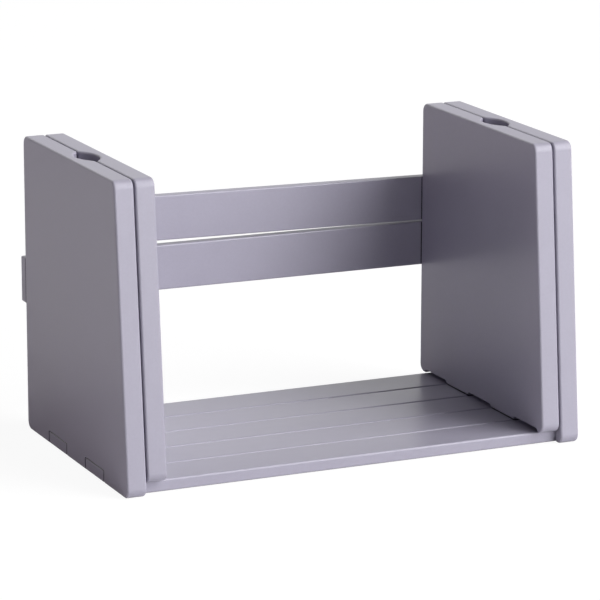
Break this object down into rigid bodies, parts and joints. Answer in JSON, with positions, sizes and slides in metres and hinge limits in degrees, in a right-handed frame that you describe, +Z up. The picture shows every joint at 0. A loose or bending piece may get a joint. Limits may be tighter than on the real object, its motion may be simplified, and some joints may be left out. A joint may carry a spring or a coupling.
{
  "type": "extending desktop book rack",
  "caption": "Desktop book rack of painted boards with trapezoid double end panels, a slatted base and two back rails, in two interleaved halves that slide apart sideways",
  "frame": {"origin": "on the desk, in the middle of the closed rack's length and depth", "axes": "+X along the row of books to the right, +Y from the open front to the back rails, +Z up"},
  "size_m": [0.364, 0.2164, 0.227],
  "materials": {
    "painted_board": "medium-density fibreboard sprayed in a satin pale lavender grey, edges eased",
    "steel_screws": "zinc-plated countersunk wood screws"
  },
  "bodies": {
    "left_half": {"left_outer_panel": "painted_board", "right_inner_panel": "painted_board", "slat_2": "painted_board", "slat_4": "painted_board", "lower_rail": "painted_board", "left_outer_slat_screws": "steel_screws", "right_inner_slat_screws": "steel_screws", "lower_rail_screws": "steel_screws"},
    "right_half": {"right_outer_panel": "painted_board", "left_inner_panel": "painted_board", "slat_1": "painted_board", "slat_3": "painted_board", "slat_5": "painted_board", "upper_rail": "painted_board", "right_outer_slat_screws": "steel_screws", "left_inner_slat_screws": "steel_screws", "upper_rail_screws": "steel_screws"}
  },
  "joints": [
    {"name": "extend", "type": "slide", "parent": "left_half", "child": "right_half", "axis": [1, 0, 0], "range_m": [0, 0.3017]}
  ]
}
